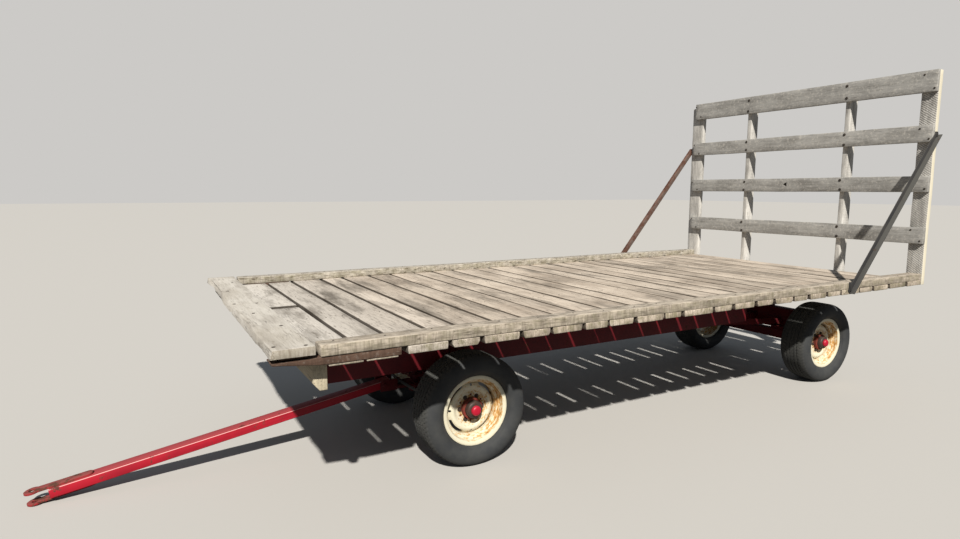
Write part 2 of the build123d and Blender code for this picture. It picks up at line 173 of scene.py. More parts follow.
# The looks of the wood. This is rough-sawn softwood left out for years, fully matt, and all boards
# share it: grain is its axis, the stretches are how far patterns are drawn out along it, and the
# amounts say how much of each mark shows
boardLook = {
    "grain": 1, "stretch": 0.05, "halfStretch": 0.22, "roughness": 0.9,
    "light": "#cbbeae", "mid": "#9d8f80", "dark": "#574c42", "toneLow": 0.84, "toneHigh": 1.08,
    "patch": "#665f56", "patchAmount": 0.85, "patchScale": 2.4,
    "fleck": 0.7, "paleFleck": 0.12, "paleTone": "#c9c4ba", "crack": 0.5, "crackTone": "#2c2722",
    "sawMarks": 0.15, "sawTone": 0, "sawTilt": 0, "sideMarks": 0.5,
    "edgeAxis": "X", "sideShadeHighlightStainTone": "#3a3128", "sideShadeHighlightStainAmount": 0, "frontTone": "#cbc7c0", "frontPale": 0,
    "endTone": "#7b765c", "endAmount": 0, "jointShadeTone": "#2e261e", "jointShadeAmount": 0,
}
# Deck planks: bleached tan over silver-grey, with grey mildew smudges, short dark flecks along the
# grain and a few drying cracks. Their sides in the gaps between them are painted dark, a painted shade
deckLook = dict(boardLook, sideShadeHighlightStainAmount=0.8, frontPale=0.9, endAmount=0.8, jointShadeAmount=0.85)
# Thicker boards along both sides: the same grey tan, flecked, with coarse saw fibres down the sides
edgeLook = dict(boardLook, grain=0, light="#bbb0a0", mid="#91877a", dark="#5a5146", patchAmount=0.8,
                patchScale=13, fleck=0.9, paleFleck=0.3, sideMarks=0.6, endAmount=0.5,
                toneLow=0.97, toneHigh=1.03)
# The right one has lost its skin in dark specks
speckledLook = dict(edgeLook, light="#bdb6a9", mid="#8d857a", dark="#3c342b", patch="#594f44",
                    patchAmount=1.0, patchScale=26, fleck=1.3, crack=0.9, paleFleck=0.5, sideMarks=0.35)
# The front board is bleached nearly white and split along its front edge
frontLook = dict(boardLook, light="#c9c4bb", mid="#afa89c", dark="#71675b", patch="#857d73",
                 patchAmount=0.6, fleck=0.5, edgeAxis="Y", sideShadeHighlightStainTone="#8d8375", sideShadeHighlightStainAmount=0.35,
                 endAmount=0.35, sideMarks=0.8, toneLow=0.97, toneHigh=1.03)
# Rack boards never walked on: plain silver-grey with faint paler flecks
rackLook = dict(boardLook, light="#a9a7a2", mid="#898783", dark="#57544f", patch="#716e69",
                patchAmount=0.55, patchScale=6, fleck=0.4, paleFleck=0.5, crack=0.12, sawMarks=0.3,
                toneLow=0.96, toneHigh=1.06)
# Uprights are paler, with more of the saw in them
uprightLook = dict(rackLook, grain=2, light="#d0cdc7", mid="#b4b1ab", sawMarks=0.5, sideMarks=0.2)
# The left outer one shows dark diagonal kerfs, and its side faces are painted cream, a painted highlight of the sun
# on them
kerfedLook = dict(uprightLook, sawMarks=0.9, sawTone=0.52, sawTilt=0.6, edgeAxis="Y",
                  sideShadeHighlightStainTone="#d3cbb4", sideShadeHighlightStainAmount=0.85)
# A knot gone nearly black
knotLook = dict(rackLook, light="#2b2622", mid="#1d1916", dark="#120f0d", patch="#1d1916", paleFleck=0)
# Reddish brown filler boards, rough and dry
brownLook = dict(boardLook, grain=0, light="#5e4a3e", mid="#47362d", dark="#2c211b", patch="#42382f",
                 patchAmount=0.45, fleck=0.5, sideMarks=0.4, toneLow=0.97, toneHigh=1.03)
# Grey-tan timbers that the deck rests on, out of the sun
timberLook = dict(boardLook, grain=0, light="#978d7c", mid="#7c7363", dark="#4c463e",
                  toneLow=0.9, toneHigh=1.05)
tieLook = dict(timberLook, grain=1, light="#c2b79e", mid="#9d927c", sideMarks=0.3)


def weatheredWood(name, look):
    material, tree = startMaterial(name)
    coords = addNode(tree, "TexCoord")
    place = coords.outputs["Object"]
    seed = addNode(tree, "Attribute", attribute_name="boardSeed").outputs["Fac"]
    stretch, halfStretch = [1, 1, 1], [1, 1, 1]
    stretch[look["grain"]] = look["stretch"]
    halfStretch[look["grain"]] = look["halfStretch"]
    along = addNode(tree, "Mapping", {"Scale": stretch}, {"Vector": place})
    halfAlong = addNode(tree, "Mapping", {"Scale": halfStretch}, {"Vector": place})
    downward = addNode(tree, "Mapping", {"Scale": (1, 1, 0.1)}, {"Vector": place})

    # what each pattern follows, its scale, detail, roughness and distortion, the values between
    # which it comes in, and its amount. Figure is 40 mm wide, fibres 6 mm, flecks 16 by 70 mm,
    # patches a hand or two, the bloom on sawn ends 30 to 60 mm, and streaks come every 8 mm
    patterns, shown = {}, {}
    for key, follows, scale, detail, roughness, distortion, low, high, amount in (
            ("figure", along, 26, 6, 0.62, 0.5, 0.3, 0.62, 0.6),
            ("fibre", along, 160, 5, 0.75, 0, 0.52, 0.7, 0.7),
            ("fleck", halfAlong, 62, 4, 0.7, 0, 0.58, 0.68, look["fleck"]),
            ("patch", halfAlong, look["patchScale"] * 3, 5, 0.65, 0, 0.49, 0.66, look["patchAmount"]),
            ("bleach", place, look["patchScale"], 4, 0.6, 0, 0.38, 0.62, 0.7),
            ("paleFleck", place, 48, 5, 0.75, 0, 0.53, 0.62, look["paleFleck"]),
            ("cracked", place, 5, 2, 0.5, 0, 0.52, 0.62, 1),
            ("bloom", place, 24, 5, 0.65, 0, 0.4, 0.62, 1),
            ("streak", downward, 120, 4, 0.7, 0, 0.42, 0.66, look["sideMarks"])):
        patterns[key] = addNode(tree, "TexNoise", {"Scale": scale, "Detail": detail, "Roughness": roughness,
                                                   "Distortion": distortion},
                                {"Vector": follows, "W": seed}, noise_dimensions="4D")
        shown[key] = addNode(tree, "MapRange", {"From Min": low, "From Max": high, "To Max": amount},
                             {"Value": patterns[key]})

    # cracks 1 mm wide, where a noise along the grain passes its middle
    line = addNode(tree, "TexNoise", {"Scale": 38, "Detail": 3, "Roughness": 0.5, "Distortion": 0.2},
                   {"Vector": along, "W": seed}, noise_dimensions="4D")
    line = addNode(tree, "Math", {1: 0.5}, {0: line}, operation="SUBTRACT")
    line = addNode(tree, "Math", links={0: line}, operation="ABSOLUTE")
    line = addNode(tree, "MapRange", {"From Min": 0.003, "From Max": 0.012, "To Min": look["crack"], "To Max": 0},
                   {"Value": line})
    cracks = addNode(tree, "Math", links={0: line, 1: shown["cracked"]}, operation="MULTIPLY")

    # how much a face looks along X or along Y
    facing = addNode(tree, "SeparateXYZ", links={0: coords.outputs["Normal"]})
    side = {}
    for axis in "XY":
        side[axis] = addNode(tree, "Math", links={0: facing.outputs[axis]}, operation="ABSOLUTE")
        side[axis] = addNode(tree, "MapRange", {"From Min": 0.6, "From Max": 0.9}, {"Value": side[axis]})
    sawnEdge = side[look["edgeAxis"]]

    # saw marks run across the grain every 14 mm, but not down the sawn edges
    tilted = addNode(tree, "Mapping", {"Rotation": (look["sawTilt"], 0, 0)}, {"Vector": place})
    wave = addNode(tree, "TexWave", {"Scale": 22, "Distortion": 3, "Detail": 2, "Detail Scale": 2},
                   {"Vector": tilted}, bands_direction="XYZ"[look["grain"]])
    offEdge = addNode(tree, "MapRange", {"To Min": 1, "To Max": 0}, {"Value": sawnEdge})
    kerfs = addNode(tree, "Math", links={0: wave.outputs["Fac"], 1: offEdge}, operation="MULTIPLY")
    kerfTone = addNode(tree, "MapRange", {"From Min": 0.35, "From Max": 0.9, "To Max": look["sawTone"]},
                       {"Value": kerfs})
    # faces along the edge axis take the side tone: painted shade on the deck planks' sides in the gaps, a painted
    # highlight of the sun on the outer upright's sides, and a real stain on the front board's ends
    sideShadeHighlightStainHere = addNode(tree, "Math", {1: look["sideShadeHighlightStainAmount"]}, {0: sawnEdge}, operation="MULTIPLY")
    streakHere = addNode(tree, "Math", links={0: shown["streak"], 1: side["Y"]}, operation="MULTIPLY")

    # the first metre of the deck is bleached paler and greyer
    parts = addNode(tree, "SeparateXYZ", links={0: place}).outputs
    frontHere = addNode(tree, "MapRange", {"From Min": 0.9, "From Max": 1.9, "To Max": look["frontPale"]},
                        {"Value": parts["X"]})
    # sawn ends along the sides have a green-grey bloom, and those that butt inside the deck are painted dark, a
    # painted shade in the joint
    across = addNode(tree, "Math", links={0: parts["Y"]}, operation="ABSOLUTE")
    outer = addNode(tree, "MapRange", {"From Min": 0.95, "From Max": 1.05, "To Max": look["endAmount"]},
                    {"Value": across})
    outer = addNode(tree, "Math", links={0: outer, 1: side["Y"]}, operation="MULTIPLY")
    endHere = addNode(tree, "Math", links={0: outer, 1: shown["bloom"]}, operation="MULTIPLY")
    inner = addNode(tree, "MapRange", {"From Min": 0.9, "From Max": 1.0, "To Min": look["jointShadeAmount"], "To Max": 0},
                    {"Value": across})
    jointShadeHere = addNode(tree, "Math", links={0: inner, 1: side["Y"]}, operation="MULTIPLY")

    # the bleached wood, then each mark over those before it
    paleness = addNode(tree, "Math", links={0: shown["figure"], 1: shown["bleach"]}, operation="ADD")
    colour = addNode(tree, "Mix", {6: look["mid"], 7: look["light"]}, {0: paleness}, data_type="RGBA")
    for tone, amount in ((look["frontTone"], frontHere), (look["dark"], shown["fibre"]),
                         (look["patch"], shown["patch"]), (look["dark"], shown["fleck"]),
                         (look["paleTone"], shown["paleFleck"]), (look["crackTone"], cracks),
                         (look["dark"], kerfTone), (look["endTone"], endHere), (look["dark"], streakHere),
                         (look["sideShadeHighlightStainTone"], sideShadeHighlightStainHere), (look["jointShadeTone"], jointShadeHere)):
        colour = addNode(tree, "Mix", {7: tone}, {0: amount, 6: colour}, data_type="RGBA")
    # one board is a little paler than the next
    draw = addNode(tree, "TexWhiteNoise", links={"W": seed}, noise_dimensions="1D").outputs["Value"]
    tone = addNode(tree, "MapRange", {"To Min": look["toneLow"], "To Max": look["toneHigh"]}, {"Value": draw})
    toned = addNode(tree, "HueSaturation", links={"Color": colour, "Value": tone})

    height = addNode(tree, "Math", {1: look["sawMarks"]}, {0: kerfs}, operation="MULTIPLY")
    for source, depth in ((patterns["figure"], 1.4), (patterns["fibre"], 1.0), (cracks, -1.6)):
        height = addNode(tree, "Math", {1: depth}, {0: source, 2: height}, operation="MULTIPLY_ADD")
    bump = addNode(tree, "Bump", {"Strength": 0.8, "Distance": 0.0016}, {"Height": height})
    shader = addNode(tree, "BsdfPrincipled", {"Roughness": look["roughness"], "Specular IOR Level": 0.2},
                     {"Base Color": toned, "Normal": bump})
    addNode(tree, "OutputMaterial", links={"Surface": shader})
    return material


deckWood = weatheredWood("weatheredDeckPlank", deckLook)
edgeWood = weatheredWood("weatheredEdgeBoard", edgeLook)
speckledWood = weatheredWood("speckledEdgeBoard", speckledLook)
frontWood = weatheredWood("weatheredFrontBoard", frontLook)
rackWood = weatheredWood("weatheredRackBoard", rackLook)
uprightWood = weatheredWood("weatheredRackUpright", uprightLook)
kerfedWood = weatheredWood("sawKerfedOuterUpright", kerfedLook)
knotWood = weatheredWood("blackenedKnot", knotLook)
brownWood = weatheredWood("reddishSawnFiller", brownLook)
timberWood = weatheredWood("agedSillTimber", timberLook)
tieWood = weatheredWood("agedCrossTie", tieLook)
print("wood materials made")


def wornPaint(name, look):
    # enamel on steel, chalked by the sun, with dust on what faces up, which on the near brace is a painted sky
    # reflection instead, and rust through scratches
    material, tree = startMaterial(name)
    coords = addNode(tree, "TexCoord")
    place = coords.outputs["Object"]
    if look["onWheel"]:
        place = addNode(tree, "Attribute", attribute_name="wheelPlace").outputs["Vector"]
    cloud = addNode(tree, "TexNoise", {"Scale": look["cloudScale"], "Detail": 5, "Roughness": 0.6},
                    {"Vector": place})
    cloud = addNode(tree, "MapRange", {"From Min": 0.35, "From Max": 0.68}, {"Value": cloud})
    colour = addNode(tree, "Mix", {6: look["paint"], 7: look["faded"]}, {0: cloud}, data_type="RGBA")
    up = addNode(tree, "SeparateXYZ", links={0: coords.outputs["Normal"]}).outputs["Z"]
    dustAndSheen = addNode(tree, "MapRange", {"From Min": look["upFrom"], "From Max": look["upTo"],
                                      "To Max": look["dustAndSheenAmount"]}, {"Value": up})
    colour = addNode(tree, "Mix", {7: look["dustAndSheen"]}, {0: dustAndSheen, 6: colour}, data_type="RGBA")
    # a painted highlight: the rounded corners beside the top are painted pale
    corner = addNode(tree, "Math", {1: 0.7}, {0: up}, operation="SUBTRACT")
    corner = addNode(tree, "Math", links={0: corner}, operation="ABSOLUTE")
    corner = addNode(tree, "MapRange", {"From Min": 0.1, "From Max": 0.22, "To Min": look["edgeHighlight"], "To Max": 0},
                     {"Value": corner})
    colour = addNode(tree, "Mix", {7: look["edgeHighlightTone"]}, {0: corner, 6: colour}, data_type="RGBA")
    chip = addNode(tree, "TexNoise", {"Scale": look["chipScale"], "Detail": 8, "Roughness": 0.68},
                   {"Vector": place})
    rust = addNode(tree, "MapRange", {"From Min": look["rustFrom"], "From Max": look["rustFrom"] + look["rustSoft"]},
                   {"Value": chip})
    # the rust itself changes every 11 mm
    rustTone = addNode(tree, "TexNoise", {"Scale": 90, "Detail": 5}, {"Vector": place})
    rustColour = addNode(tree, "Mix", {6: look["rustDark"], 7: look["rust"]}, {0: rustTone}, data_type="RGBA")
    colour = addNode(tree, "Mix", links={0: rust, 6: colour, 7: rustColour}, data_type="RGBA")
    rough = addNode(tree, "MapRange", {"To Min": look["gloss"], "To Max": 0.85}, {"Value": rust})
    height = addNode(tree, "Math", {1: 0.25}, {0: rustTone, 2: rust}, operation="MULTIPLY_ADD")
    bump = addNode(tree, "Bump", {"Strength": 0.35, "Distance": 0.0008}, {"Height": height})
    shader = addNode(tree, "BsdfPrincipled", {"Specular IOR Level": look["shine"]},
                     {"Base Color": colour, "Roughness": rough, "Normal": bump})
    addNode(tree, "OutputMaterial", links={"Surface": shader})
    return material


# old red enamel under the deck, its red painted down to a dark maroon as painted shade, dull, faded in patches of 140
# mm and chipped in ones of 60 mm
rustyRed = {
    "paint": "#5c0d15", "faded": "#4c0d14", "dustAndSheen": "#58352e", "edgeHighlightTone": "#e3bdb6",
    "rust": "#5a2f1f", "rustDark": "#2c150e", "cloudScale": 7, "chipScale": 16, "rustFrom": 0.6, "rustSoft": 0.05,
    "gloss": 0.6, "shine": 0.3, "upFrom": 0.5, "upTo": 0.95, "dustAndSheenAmount": 0.35, "edgeHighlight": 0, "onWheel": False,
}
# the tongue: bright red on its sides, bleached to a dusty pink on top, with a painted highlight along the corners
# beside the top
brightRed = dict(rustyRed, paint="#a81729", faded="#931526", dustAndSheen="#9c4346", dustAndSheenAmount=0.85, rust="#6f4236",
                 gloss=0.5, shine=0.35, edgeHighlight=0.8)
# bare steel under an even brown rust
rustSteel = dict(rustyRed, paint="#643a2e", faded="#744436", dustAndSheen="#85614f", rust="#6c4231", rustDark="#412820",
                 rustFrom=0.45, rustSoft=0.1, gloss=0.8)
# dull dark steel, with a little rust
darkSteel = dict(rustyRed, paint="#3d3f3f", faded="#4b4c4a", dustAndSheen="#62615c", rust="#4a382e", rustDark="#2c221c",
                 shine=0.5)
# the near brace: nearly black paint, and the flange that faces up painted a lighter grey, a painted reflection of the
# sky
braceSteel = dict(darkSteel, paint="#242426", faded="#353331", dustAndSheen="#4b4a46", dustAndSheenAmount=0.9,
                  upFrom=0.3, upTo=0.6)
# the far brace: rusted brown, greyer on its flat flange
braceRust = dict(rustSteel, paint="#574b45", faded="#63554e", dustAndSheen="#75594d", rust="#674a3d", dustAndSheenAmount=0.85,
                 upFrom=0.3, upTo=0.6)
# hitch straps: red paint mostly gone to rust, chipped every 40 mm
strapRed = dict(rustSteel, paint="#93272c", faded="#7d3431", dustAndSheen="#81504b", dustAndSheenAmount=0.6,
                rust="#6a4536", rustDark="#40281f", rustFrom=0.5, rustSoft=0.06, chipScale=24)
# bolt heads weathered nearly black
darkBolt = dict(darkSteel, paint="#37322e", faded="#433c36", dustAndSheen="#4a443e", gloss=0.8, shine=0.2)
# pressed cap under old grease in smears of 30 mm, and its shiny red middle
greasyCap = dict(rustyRed, paint="#362c27", faded="#42352f", dustAndSheen="#4e433b", rust="#5a3324", rustDark="#2b1815",
                 cloudScale=30, chipScale=40, rustFrom=0.58, gloss=0.5, onWheel=True)
capTip = dict(rustyRed, paint="#b3122f", faded="#a31029", dustAndSheen="#b8485a", dustAndSheenAmount=0.2, rustFrom=0.68,
              gloss=0.42, shine=0.5, onWheel=True)
# red hub rusted through round its bolts, in spots of 17 mm
hubRust = dict(rustSteel, paint="#802f28", faded="#6e2822", rust="#84412f", chipScale=60, onWheel=True)

redWithPaintedShade = wornPaint("redEnamelWithPaintedShade", rustyRed)
tongueRed = wornPaint("sunFadedRedEnamel", brightRed)
angleSteel = wornPaint("dullDarkAngleSteel", darkSteel)
braceDark = wornPaint("dullAngleIronWithPaintedSheen", braceSteel)
braceBrown = wornPaint("rustedTwoToneAngleIron", braceRust)
strapWorn = wornPaint("wornRedStrapIron", strapRed)
darkHead = wornPaint("weatheredDarkBoltHead", darkBolt)
capBlack = wornPaint("greasyDarkCap", greasyCap)
capRed = wornPaint("glossyRedTip", capTip)
hubSteel = wornPaint("rustRedHub", hubRust)


def wheelSpace(tree):
    # the point's place on its own wheel, the three parts of it, and its distance from the axle
    place = addNode(tree, "Attribute", attribute_name="wheelPlace").outputs["Vector"]
    parts = addNode(tree, "SeparateXYZ", links={0: place}).outputs
    flat = addNode(tree, "CombineXYZ", links={"X": parts["X"], "Z": parts["Z"]})
    radius = addNode(tree, "VectorMath", links={0: flat}, operation="LENGTH").outputs["Value"]
    return place, parts, radius


# cream enamel on pressed steel, yellowed, with orange-brown rust bleeding out of the lug holes, the
# slots and the barrel
creamLook = {"enamel": "#dcd8c6", "yellowed": "#ccc3a5", "streak": "#b98d4a", "rust": "#7a4527",
             "gloss": 0.42, "rustGloss": 0.85}


def creamWheel(name, look):
    material, tree = startMaterial(name)
    place, parts, radius = wheelSpace(tree)
    # streaks 12 mm wide that follow the ring, over a fine yellowing every 8 mm
    turnHere = addNode(tree, "Math", links={0: parts["X"], 1: parts["Z"]}, operation="ARCTAN2")
    turnShort = addNode(tree, "Math", {1: 0.06}, {0: turnHere}, operation="MULTIPLY")
    streaked = addNode(tree, "CombineXYZ", links={"X": radius, "Y": parts["Y"], "Z": turnShort})
    amount = addNode(tree, "TexNoise", {"Scale": 85, "Detail": 8, "Roughness": 0.72}, {"Vector": streaked})
    fine = addNode(tree, "TexNoise", {"Scale": 120, "Detail": 5, "Roughness": 0.6}, {"Vector": place})
    # more rust on the barrel, from radius 150 to 186 mm, less on its lips, more round the lugs, where it
    # fades from 72 to 125 mm, and more on one side of the wheel than on the other
    for source, low, high, least, most in ((radius, 0.150, 0.168, 0, 0.09), (radius, 0.186, 0.196, 0, -0.2),
                                           (radius, 0.072, 0.125, 0.15, 0), (parts["X"], -0.2, 0.2, 0.07, -0.09)):
        extra = addNode(tree, "MapRange", {"From Min": low, "From Max": high, "To Min": least, "To Max": most},
                        {"Value": source})
        amount = addNode(tree, "Math", links={0: amount, 1: extra}, operation="ADD")
    stained = addNode(tree, "MapRange", {"From Min": 0.54, "From Max": 0.66}, {"Value": amount})
    deep = addNode(tree, "MapRange", {"From Min": 0.66, "From Max": 0.78}, {"Value": amount})
    colour = addNode(tree, "Mix", {6: look["enamel"], 7: look["yellowed"]}, {0: fine}, data_type="RGBA")
    for tone, here in ((look["streak"], stained), (look["rust"], deep)):
        colour = addNode(tree, "Mix", {7: tone}, {0: here, 6: colour}, data_type="RGBA")
    rough = addNode(tree, "MapRange", {"To Min": look["gloss"], "To Max": look["rustGloss"]}, {"Value": stained})
    bump = addNode(tree, "Bump", {"Strength": 0.3, "Distance": 0.0006}, {"Height": amount})
    shader = addNode(tree, "BsdfPrincipled", links={"Base Color": colour, "Roughness": rough, "Normal": bump})
    addNode(tree, "OutputMaterial", links={"Surface": shader})
    return material


# carbon-black rubber gone grey in the sun, dustier on the tread and in patches
rubberLook = {"rubber": "#2d2f31", "dustAndSheen": "#4d4d49", "roughness": 0.8}


def tyreRubber(name, look):
    material, tree = startMaterial(name)
    place, parts, radius = wheelSpace(tree)
    # patches of 110 mm, and a grit of 4 mm, which is as fine as the render shows
    cloud = addNode(tree, "TexNoise", {"Scale": 9, "Detail": 6, "Roughness": 0.62}, {"Vector": place})
    grit = addNode(tree, "TexNoise", {"Scale": 260, "Detail": 3}, {"Vector": place})
    tread = addNode(tree, "MapRange", {"From Min": 0.322, "From Max": 0.336, "To Max": 0.5}, {"Value": radius})
    cloud = addNode(tree, "MapRange", {"From Min": 0.4, "From Max": 0.75, "To Max": 0.45}, {"Value": cloud})
    dustAndSheen = addNode(tree, "Math", links={0: tread, 1: cloud}, operation="ADD", use_clamp=True)
    colour = addNode(tree, "Mix", {6: look["rubber"], 7: look["dustAndSheen"]}, {0: dustAndSheen}, data_type="RGBA")
    bump = addNode(tree, "Bump", {"Strength": 0.3, "Distance": 0.0005}, {"Height": grit})
    shader = addNode(tree, "BsdfPrincipled", {"Roughness": look["roughness"]}, {"Base Color": colour, "Normal": bump})
    addNode(tree, "OutputMaterial", links={"Surface": shader})
    return material


rimEnamel = creamWheel("creamEnamelOnRim", creamLook)
tyreBlack = tyreRubber("sunBleachedTyreRubber", rubberLook)
print("metal and rubber materials made")


def boxOf(points):
    return (Vector([min(point[i] for point in points) for i in range(3)]),
            Vector([max(point[i] for point in points) for i in range(3)]))


def solidPoints(nodeName):
    # the points of each separate solid of a CAD node, from the rear to the front
    work = bmesh.new()
    work.from_mesh(nodes[nodeName].data)
    bmesh.ops.remove_doubles(work, verts=work.verts, dist=sameSpot)
    left = set(work.verts)
    solids = []
    while left:
        stack = [left.pop()]
        solid = []
        while stack:
            vertex = stack.pop()
            solid.append(vertex.co.copy())
            for edge in vertex.link_edges:
                other = edge.other_vert(vertex)
                if other in left:
                    left.remove(other)
                    stack.append(other)
        solids.append(solid)
    work.free()
    return sorted(solids, key=lambda solid: [round(value, 4) for value in boxOf(solid)[0]])


def solidBoxes(nodeName):
    return [boxOf(points) for points in solidPoints(nodeName)]


# local length, width and thickness to the row's axes
boardTurns = {
    "XY": Matrix(((1, 0, 0), (0, 1, 0), (0, 0, 1))),
    "YX": Matrix(((0, -1, 0), (1, 0, 0), (0, 0, 1))),
    "YZ": Matrix(((0, 0, 1), (1, 0, 0), (0, 1, 0))),
    "ZY": Matrix(((0, 0, -1), (0, 1, 0), (1, 0, 0))),
    "XZ": Matrix(((1, 0, 0), (0, 0, -1), (0, 1, 0))),
}
# cloud textures that move a board's faces: size and depth of each
warps = {}
for name, size, depth in (("slowWarp", 0.9, 1), ("otherWarp", 0.7, 1), ("roughSaw", 0.05, 2)):
    warps[name] = bpy.data.textures.new(name, "CLOUDS")
    warps[name].noise_scale = size
    warps[name].noise_depth = depth
benchStep = (3.7, 1.9, 0)  # from one board to the next, so that each meets the textures elsewhere
seedStep, seedRange = 0.618034, 40  # spreads the boards' seeds evenly
boardCount = 0


def markSeed(piece, seed):
    layer = piece.data.attributes.new("boardSeed", "FLOAT", "POINT")
    layer.data.foreach_set("value", [seed] * len(piece.data.vertices))


def sawnBoard(low, high, turn, build, shape=None):
    # a grid raised to its thickness in two lifts on the bench, warped, roughened and worn at its
    # edges, then turned and laid in its place
    global boardCount
    boardCount += 1
    size = high - low
    axes = ["XYZ".index(letter) for letter in turn]
    axes.append(3 - sum(axes))
    length, width, thickness = (size[axis] for axis in axes)
    bench = Vector([boardCount * step for step in benchStep])
    deselectAll()
    bpy.ops.mesh.primitive_grid_add(x_subdivisions=max(2, round(length / build["cell"])),
                                    y_subdivisions=max(2, round(width / build["cell"])), size=1, location=bench)
    board = bpy.context.object
    board.scale = (length, width, 1)
    applyPlace(board)
    editAll()
    for lift in range(2):
        extrudeBy(0, 0, thickness / 2)
    leaveEdit()
    if shape:
        for vertex in board.data.vertices:
            vertex.co = bench + shape(vertex.co - bench, length, width, thickness)
    for texture, direction, strength in (("slowWarp", "Z", build["bow"]), ("otherWarp", "Y", build["sweep"]),
                                         ("roughSaw", "NORMAL", build["rough"])):
        addModifier(board, "DISPLACE", texture=warps[texture], texture_coords="LOCAL", direction=direction,
                    mid_level=0.5, strength=strength)
    roundEdges(board, build["worn"], 2, 38)
    applyModifiers(board)
    board.matrix_world = (Matrix.Translation((low + high) / 2) @ boardTurns[turn].to_4x4()
                          @ Matrix.Translation(-(bench + Vector((0, 0, thickness / 2)))))
    applyPlace(board)
    # no splinter reaches beyond the box round the whole frame
    for vertex in board.data.vertices:
        vertex.co = [min(max(value, least), most) for value, least, most in zip(vertex.co, *cadBounds)]
    markSeed(board, (boardCount * seedStep) % 1 * seedRange)
    return board


def finishBoards(name, boards, material, nodeName):
    # with no material, the boards keep their own
    piece = joinAs(name, boards)
    smooth(piece, 50)
    if material:
        paint(piece, material)
    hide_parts(nodeName)
    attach(piece, "frame")
    print(name, "made:", len(piece.data.polygons), "faces")
    return piece


# the half plank in the second row has shrunk back from the one it butts against
plankBuild = {"cell": 0.05, "bow": 0.006, "sweep": 0.006, "rough": 0.0012, "worn": 0.004, "shrunk": 0.05}


def cutPlank(wane, shrunk):
    # cuts a plank back along its lower long edges, and at one end
    def shape(point, length, width, thickness):
        if point.z < hairline and abs(point.y) > width / 2 - hairline:
            point.y -= math.copysign(wane, point.y)
        if point.x > length / 2 - hairline:
            point.x -= shrunk
        return point
    return shape


planks = []
for points in solidPoints("deck_planks"):
    low, high = boxOf(points)
    wane = min(point.x for point in points if point.z < low.z + hairline) - low.x
    shrunk = plankBuild["shrunk"] if abs(high.y) < 0.1 else 0
    planks.append(sawnBoard(low, high, "YX", plankBuild, cutPlank(wane, shrunk)))
deckPiece = finishBoards("deckPlanks", planks, deckWood, "deck_planks")

edgeBuild = {"cell": 0.035, "bow": 0.008, "sweep": 0.006, "rough": 0.004, "worn": 0.005}
edgeShapes = []
for low, high in solidBoxes("edge_boards"):
    edgeShapes.append(sawnBoard(low, high, "XY", edgeBuild))
    paint(edgeShapes[-1], edgeWood if low.y > 0 else speckledWood)
edgePiece = finishBoards("edgeBoards", edgeShapes, None, "edge_boards")

# how far the worn front is eaten back, from the right end to the left one, at its upper and its lower edge
frontBuild = {
    "cell": 0.025, "bow": 0.005, "sweep": 0.004, "rough": 0.006, "worn": 0.005,
    "upper": [(-1.24, 0.008), (-1.1, 0.03), (-1.0, 0.038), (-0.8, 0.036), (-0.58, 0.024), (-0.15, 0.02),
              (0.2, 0.015), (0.64, 0.01), (0.9, 0.005), (1.03, 0.008), (1.24, 0.012)],
    "lower": [(-1.24, 0.004), (-1.1, 0.012), (-0.98, 0.024), (-0.65, 0.016), (-0.48, 0.014), (-0.25, 0.001),
              (0.04, 0.002), (0.07, 0.011), (0.1, 0.002), (0.9, 0.0), (1.01, 0.005), (1.24, 0.0)],
}


def eatenBack(line, place):
    for (fromY, fromDepth), (toY, toDepth) in zip(line, line[1:]):
        if fromY <= place <= toY:
            return fromDepth + (toDepth - fromDepth) * (place - fromY) / (toY - fromY)
    return 0.0


def wornFront(point, length, width, thickness):
    # the board lies along Y, so its front edge is at local -Y
    if point.y < -width / 2 + hairline:
        upper, lower = (eatenBack(frontBuild[line], point.x) for line in ("upper", "lower"))
        point.y += lower + (upper - lower) * point.z / thickness
    return point


low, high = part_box("front_board")
frontPiece = finishBoards("frontBoard", [sawnBoard(low, high, "YX", frontBuild, wornFront)], frontWood,
                          "front_board")

# over its last stretch a filler's underside rises and its top sinks, which leaves a dark slit under
# the front board. The right one ends further back, behind the eaten corner of that board
fillerBuild = {"cell": 0.04, "bow": 0.003, "sweep": 0.003, "rough": 0.004, "worn": 0.004,
               "stretch": 0.217, "rise": 0.022, "sink": 0.008, "rightTip": 0.05}


def risingFront(point, length, width, thickness):
    start = length / 2 - fillerBuild["stretch"]
    share = max(0, (point.x - start) / fillerBuild["stretch"])
    point.z += (fillerBuild["rise"] * share * (1 - point.z / thickness)
                - fillerBuild["sink"] * min(1, share * 4) * point.z / thickness)
    return point


fillers = []
for low, high in solidBoxes("corner_fillers"):
    if low.y < 0:
        high.x -= fillerBuild["rightTip"]
    fillers.append(sawnBoard(low, high, "XY", fillerBuild, risingFront))
finishBoards("cornerFillers", fillers, brownWood, "corner_fillers")
laths = [sawnBoard(low, high, "XY", fillerBuild) for low, high in solidBoxes("laths")]
finishBoards("underLaths", laths, edgeWood, "laths")

rackBuild = {"cell": 0.04, "bow": 0.006, "sweep": 0.007, "rough": 0.003, "worn": 0.003}
